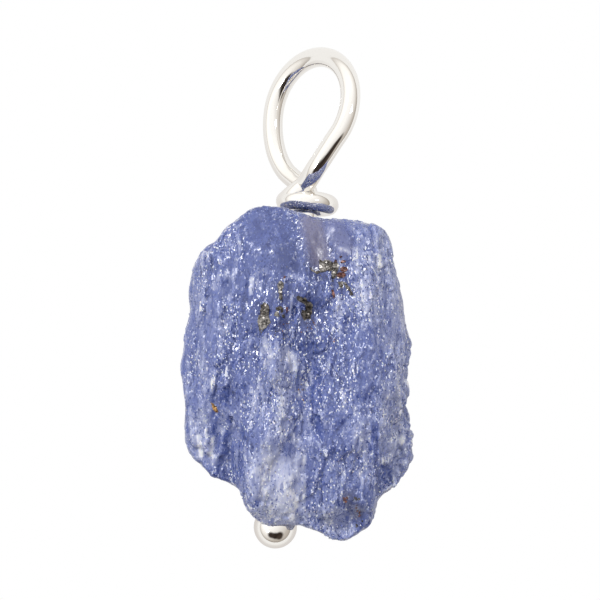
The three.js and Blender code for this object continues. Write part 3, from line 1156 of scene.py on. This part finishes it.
    def build(self) -> bpy.types.Object:
        """Makes all grains as one piece, set into the crystal's surface.

        Returns:
            The finished piece.
        """
        draw = np.random.default_rng(self.seed)
        for flake in FLAKES:
            self.add_flake(flake, draw)
        for crumbs in CRUMBS:
            turn = Matrix.Rotation(math.radians(crumbs.turn), 2)
            for _ in range(crumbs.count):
                at = Vector(crumbs.middle) + turn @ Vector(draw.uniform(-1, 1, 2) * np.array(crumbs.half))
                self.add_crumb(at, crumbs.size * draw.uniform(*self.crumb_spread), crumbs.kind, draw)
        materials = [GRAIN_FINISHES[kind].material() for kind in Grain]
        made = add_mesh("mineral_grains", self.points, self.faces, materials)
        made.data.polygons.foreach_set("material_index", self.kinds)
        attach(made, "root")
        log.info("grains: %d faces", len(self.faces))
        return made


@dataclass
class SilverPin:
    """The ball-headed pin: one wire through the crystal, round the hanging loop and round its own neck.

    Sizes are in mm. In the pin's own frame the wire runs up along y and the front is towards z.
    """

    node: str = "silver_pin"
    # the radii of the wire and the ball, and the straight stretch between the ball and the neck
    wire: float = 0.5
    ball: float = 1.08
    length: float = 16.36
    neck: float = 0.2
    # the hanging loop: its radius, its turn about the pin, its middle and its egg shape
    loop: float = 2.84
    loop_turn: float = math.radians(40)
    loop_height: float = 4.5
    loop_shift: float = 0.14
    loop_lean: float = 0.06
    loop_droop: float = 1.24
    left_round: float = math.radians(70)
    right_round: float = math.radians(34)
    # how far it coils to the front by its end, and how late
    loop_coil: float = 1.35
    coil_lateness: float = 1.55
    # the crossing over the neck and the wrap round it
    crossing: float = 0.75
    crossing_start: float = math.radians(13.4)
    crossing_turn: float = math.radians(85)
    crossing_pass: Size = (0.25, 1.59, 1.95)
    wrap_turn: float = math.radians(450)
    wrap_swell: float = 0.04
    wrap_swell_start: float = math.radians(240)
    wrap_swell_turn: float = math.radians(90)
    wrap_tuck: float = 0.3
    wrap_tip: float = 0.02
    gap: float = 0.06
    # the cut end's rounding, and the turn in radians of its first ring
    rounding: float = 0.12
    rounding_start: float = 0.3
    # where the neck is on the pendant, and how the pin leans there
    centre: Size = (0.61, 4.73, 3.6)
    tilt: float = math.radians(5.7)
    lean: float = math.radians(6)
    # how fine the mesh is
    sides: int = 40
    step: float = 0.11
    ball_rings: int = 40
    ball_gap: float = 0.03
    end_rings: int = 5
    straight_guides: int = 9
    loop_guides: int = 19
    wrap_guides: int = 28
    guide_steps: int = 24

    def wrap_point(self, turned: float) -> np.ndarray:
        """Finds a place on the wrap's middle line.

        Args:
            turned: the turn from the wrap's start, in radians.

        Returns:
            The place in the pin's frame.
        """
        angle = math.pi / 2 + self.crossing_start + turned
        drop = max(0.0, 1.0 - turned / self.crossing_turn) ** 2
        swell = min(1.0, max(0.0, (turned - self.wrap_swell_start) / self.wrap_swell_turn))
        radius = 2 * self.wire + self.wrap_swell * (swell - self.wrap_tuck * (1 - swell)) + self.gap
        height = self.crossing * drop + self.wrap_tip * math.sin(angle)
        return np.array((radius * math.cos(angle), height, radius * math.sin(angle)))

    def guide(self) -> np.ndarray:
        """Lays out the wire from the ball to the cut end.

        Returns:
            (n, 3) places that the wire's middle line passes, in the pin's frame.
        """
        side = np.array((math.cos(self.loop_turn), 0.0, math.sin(self.loop_turn)))
        ahead = np.array((-math.sin(self.loop_turn), 0.0, math.cos(self.loop_turn)))
        up = np.array((0.0, 1.0, 0.0))
        points = [up * h for h in np.linspace(-self.length, self.neck, self.straight_guides)]
        points.append(-self.neck * side + self.crossing * up)
        for t in np.linspace(0.0, 1.0, self.loop_guides):
            turn = math.pi + self.left_round + t * (-self.right_round - math.pi - self.left_round)
            n = self.loop_coil * t**self.coil_lateness
            u = self.loop_shift + self.loop * (math.cos(turn) + self.loop_lean * math.sin(turn))
            droop = self.loop_droop if turn > math.pi else 1.0
            height = self.loop_height + droop * self.loop * math.sin(turn)
            points.append(u * side + height * up + n * ahead)
        points.append(np.array(self.crossing_pass))
        points += [self.wrap_point(t) for t in np.linspace(0.0, self.wrap_turn, self.wrap_guides)]
        return np.array(points)

    def middle_line(self) -> np.ndarray:
        """Draws the wire's middle line smoothly through the guide's places.

        Returns:
            (n, 3) close, even places along it.
        """
        guide = self.guide()
        guide = np.concatenate([[2 * guide[0] - guide[1]], guide, [2 * guide[-1] - guide[-2]]])
        dense = []
        for p0, p1, p2, p3 in zip(guide, guide[1:], guide[2:], guide[3:]):
            k0, k1, k2 = (np.linalg.norm(b - a) ** 0.5 for a, b in ((p0, p1), (p1, p2), (p2, p3)))
            m1 = (p1 - p0) / k0 - (p2 - p0) / (k0 + k1) + (p2 - p1) / k1
            m2 = (p2 - p1) / k1 - (p3 - p1) / (k1 + k2) + (p3 - p2) / k2
            m1, m2 = m1 * k1, m2 * k1
            for t in np.linspace(0.0, 1.0, self.guide_steps, endpoint=False):
                a = 2 * t**3 - 3 * t**2 + 1
                b = t**3 - 2 * t**2 + t
                dense.append(a * p1 + b * m1 + (1 - a) * p2 + (t**3 - t**2) * m2)
        dense.append(guide[-2])
        dense = np.array(dense)
        run = np.concatenate([[0.0], np.cumsum(np.linalg.norm(np.diff(dense, axis=0), axis=1))])
        even = np.linspace(0.0, run[-1], int(run[-1] / self.step))
        return np.stack([np.interp(even, run, dense[:, i]) for i in range(3)], axis=1)

    def rings(self) -> tuple[np.ndarray, np.ndarray]:
        """Sets rings along the ball, the wire and its rounded end.

        Returns:
            The rings' (n, 3) centres and (n,) radii.
        """
        line = self.middle_line()
        meet = math.sqrt(self.ball**2 - self.wire**2)
        below = np.linspace(math.pi, math.asin(self.wire / self.ball), self.ball_rings)[1:]
        ball = [line[0] + np.array((0.0, self.ball * math.cos(a), 0.0)) for a in below]
        sizes = [self.ball * math.sin(a) for a in below]
        beyond = line[np.linalg.norm(line - line[0], axis=1) > meet + self.ball_gap]
        ahead = beyond[-1] - beyond[-2]
        ahead /= np.linalg.norm(ahead)
        turns = np.linspace(self.rounding_start, math.pi / 2, self.end_rings)
        ends = [beyond[-1] + ahead * self.rounding * math.sin(a) for a in turns]
        end_sizes = [self.wire - self.rounding * (1 - math.cos(a)) for a in turns]
        centres = np.concatenate([ball, beyond, ends])
        return centres, np.concatenate([sizes, np.full(len(beyond), self.wire), end_sizes])

    def skin(self) -> tuple[np.ndarray, list[tuple[int, ...]]]:
        """Closes one surface over the rings.

        Returns:
            Its (n, 3) points in the pin's frame, and its faces.
        """
        centres, radii = self.rings()
        tangents = np.gradient(centres, axis=0)
        tangents /= np.linalg.norm(tangents, axis=1)[:, None]
        across = np.array((1.0, 0.0, 0.0))
        points = []
        angles = np.linspace(0.0, 2 * math.pi, self.sides, endpoint=False)
        for centre, radius, tangent in zip(centres, radii, tangents):
            across = across - tangent * (across @ tangent)
            across /= np.linalg.norm(across)
            other = np.cross(tangent, across)
            ring = np.outer(np.cos(angles), across) + np.outer(np.sin(angles), other)
            points.append(centre + radius * ring)
        sunk = self.ball * (1 - math.cos(math.asin(radii[0] / self.ball)))
        pole = centres[0] - tangents[0] * sunk
        points = np.concatenate([*points, [pole, centres[-1]]])
        last = (len(centres) - 1) * self.sides
        around = [(j, (j + 1) % self.sides) for j in range(self.sides)]
        faces: list[tuple[int, ...]] = []
        for a in range(0, last, self.sides):
            b = a + self.sides
            faces += [(a + j, a + k, b + k, b + j) for j, k in around]
        for j, k in around:
            faces += [(k, j, len(points) - 2), (last + j, last + k, len(points) - 1)]
        return points, faces

    def build(self) -> bpy.types.Object:
        """Makes the pin, which stands for its solid.

        Returns:
            The finished piece.
        """
        points, faces = self.skin()
        turn = Matrix.Rotation(-self.tilt, 3, "Z") @ Matrix.Rotation(-self.lean, 3, "X")
        points = points @ np.array(turn).T + np.array(self.centre)
        made = add_mesh("silver_ball_pin", (points * MM).tolist(), faces, [SterlingFinish().material()])
        made.data.shade_smooth()
        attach(made, "root")
        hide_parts(self.node)
        log.info("pin: %d faces", len(faces))
        return made


@dataclass
class Studio:
    """A white light table under a soft white tent, with lamps for the glints and a camera straight above."""

    # the picture's width and middle, the height that is in scale, and the camera's distance in metres
    view_mm: float = 30.0
    middle_mm: tuple[float, float] = (0.225, -0.125)
    focus_mm: float = 5.0
    distance: float = 0.4
    sensor: float = 36.0
    clip: Range = (0.01, 10.0)
    # the table, and where its painted shadow, a dimmer patch round the pendant's foot, lies and fades out
    floor_size: float = 1.2
    foot_mm: float = -9.0
    fade_mm: Range = (3.0, 26.0)
    # the tone of the painted shadow round the foot
    foot_shadow_tone: str = "dedad8"
    # the tent: its brighter side, its tones by height from the horizon to the top, and its strength
    bright_side: Size = (-0.5, 0.55, 0.67)
    bright_edge: Range = (-0.35, 0.75)
    dim_tone: str = "b8b2ac"
    bands: tuple[tuple[float, str], ...] = (
        (0.0, "bdb9b5"),
        (0.06, "d6d3d0"),
        (0.2, "f3f2f0"),
        (0.55, "fdfdfd"),
        (0.9, "f2f2f2"),
    )
    tent_strength: float = 1.3
    # darker openings: direction, inner and outer half angle in degrees, tone
    cards: tuple[tuple[Size, float, float, str], ...] = (
        ((0.36, -0.67, 0.65), 12.0, 22.0, "332b26"),
        ((0.0, -0.75, 0.66), 13.0, 23.0, "2b2420"),
        ((-0.34, -0.68, 0.65), 11.0, 21.0, "332c28"),
        ((0.32, -0.82, 0.47), 7.0, 17.0, "3d342e"),
    )
    # lamps: name, place and side in metres, power in watts
    lamps: tuple[tuple[str, Size, float, float], ...] = (
        ("key_lamp", (-0.18, 0.2, 0.26), 0.06, 0.68),
        ("side_lamp", (0.2, 0.08, 0.28), 0.05, 0.28),
        ("low_lamp", (-0.2, -0.12, 0.22), 0.05, 0.1),
    )

    def floor(self) -> None:
        """Lays the glowing white table."""
        white = bare_material("opal_light_table")
        tree = white.node_tree
        # white to look at; in what the silver reflects, a warmer, dimmer painted shadow round the pendant's
        # foot
        place = add_node(tree, "ShaderNodeTexCoord").outputs["Object"]
        away = {0: place, 1: (0.0, self.foot_mm * MM, 0.0)}
        away = add_node(tree, "ShaderNodeVectorMath", away, operation="DISTANCE").outputs["Value"]
        away = {"Value": away, "From Min": self.fade_mm[0] * MM, "From Max": self.fade_mm[1] * MM}
        away = add_node(tree, "ShaderNodeMapRange", away, interpolation_type="SMOOTHSTEP").outputs[0]
        lit = {"Factor": away, 6: linear(self.foot_shadow_tone), 7: linear(WHITE)}
        lit = add_node(tree, "ShaderNodeMix", lit, data_type="RGBA").outputs[2]
        seen = add_node(tree, "ShaderNodeLightPath").outputs["Is Camera Ray"]
        lit = {"Factor": seen, 6: lit, 7: linear(WHITE)}
        lit = add_node(tree, "ShaderNodeMix", lit, data_type="RGBA").outputs[2]
        glow = add_node(tree, "ShaderNodeEmission", {"Color": lit, "Strength": 1.0})
        add_node(tree, "ShaderNodeOutputMaterial", {"Surface": glow.outputs[0]})
        half = self.floor_size / 2
        corners = [(-half, -half, 0), (half, -half, 0), (half, half, 0), (-half, half, 0)]
        add_mesh("light_table", corners, [(0, 1, 2, 3)], [white])

    def tent(self) -> None:
        """Surrounds the table with white, dark where the tent is open beyond the pendant's foot."""
        world = bpy.data.worlds.new("white_tent")
        world.use_nodes = True
        bpy.context.scene.world = world
        tree = world.node_tree
        tree.nodes.clear()
        direction = add_node(tree, "ShaderNodeTexCoord").outputs["Generated"]
        height = add_node(tree, "ShaderNodeSeparateXYZ", {0: direction}).outputs[2]
        bands = add_node(tree, "ShaderNodeValToRGB", {"Fac": height}, self.bands).outputs["Color"]
        side = {0: direction, 1: Vector(self.bright_side).normalized()}
        side = add_node(tree, "ShaderNodeVectorMath", side, operation="DOT_PRODUCT").outputs["Value"]
        side = {"Value": side, **dict(zip(SPAN_SOCKETS, self.bright_edge))}
        side = add_node(tree, "ShaderNodeMapRange", side).outputs[0]
        tint = {"Factor": side, 6: linear(self.dim_tone), 7: linear(WHITE)}
        tint = add_node(tree, "ShaderNodeMix", tint, data_type="RGBA").outputs[2]
        tint = {"Factor": 1.0, 6: tint, 7: bands}
        tint = add_node(tree, "ShaderNodeMix", tint, data_type="RGBA", blend_type="MULTIPLY").outputs[2]
        for towards, inner, outer, colour in self.cards:
            share = {0: direction, 1: Vector(towards).normalized()}
            share = add_node(tree, "ShaderNodeVectorMath", share, operation="DOT_PRODUCT").outputs["Value"]
            edge = (math.cos(math.radians(outer)), math.cos(math.radians(inner)))
            share = {"Value": share, **dict(zip(SPAN_SOCKETS, edge))}
            share = add_node(tree, "ShaderNodeMapRange", share).outputs[0]
            tint = {"Factor": share, 6: tint, 7: linear(colour)}
            tint = add_node(tree, "ShaderNodeMix", tint, data_type="RGBA").outputs[2]
        tent = add_node(tree, "ShaderNodeBackground", {"Color": tint, "Strength": self.tent_strength})
        plain = add_node(tree, "ShaderNodeBackground", {"Color": linear(WHITE), "Strength": 1.0})
        seen = add_node(tree, "ShaderNodeLightPath").outputs["Is Camera Ray"]
        mixed = add_node(tree, "ShaderNodeMixShader", {0: seen, 1: tent.outputs[0], 2: plain.outputs[0]})
        add_node(tree, "ShaderNodeOutputWorld", {"Surface": mixed.outputs[0]})

    def lamp(self, name: str, place: Size, size: float, watts: float) -> None:
        """Hangs a square lamp that faces the pendant.

        Args:
            name: the lamp's name.
            place: where it hangs, in metres.
            size: its side in metres.
            watts: its power.
        """
        light = bpy.data.lights.new(name, "AREA")
        light.size = size
        light.energy = watts
        lamp = bpy.data.objects.new(name, light)
        lamp.location = place
        lamp.rotation_euler = (-Vector(place)).to_track_quat("-Z", "Y").to_euler()
        bpy.context.scene.collection.objects.link(lamp)

    def camera(self) -> None:
        """Hangs the camera straight above the pendant's front."""
        data = bpy.data.cameras.new("camera")
        data.sensor_width = self.sensor
        data.lens = self.sensor * self.distance / (self.view_mm * MM)
        data.clip_start, data.clip_end = self.clip
        camera = bpy.data.objects.new("camera", data)
        x, y = self.middle_mm
        camera.location = (x * MM, y * MM, self.focus_mm * MM + self.distance)
        bpy.context.scene.collection.objects.link(camera)
        bpy.context.scene.camera = camera

    def build(self) -> None:
        """Sets up the whole studio."""
        self.floor()
        self.tent()
        for lamp in self.lamps:
            self.lamp(*lamp)
        self.camera()
        bpy.context.scene.view_settings.view_transform = "Standard"
        log.info("studio ready")


def main() -> None:
    """Builds the pendant and its studio."""
    logging.basicConfig(level=logging.INFO, format="%(name)s: %(message)s")
    Studio().build()
    crystal = Crystal().build()
    MineralGrains(crystal).build()
    SilverPin().build()


if __name__ == "__main__":
    main()
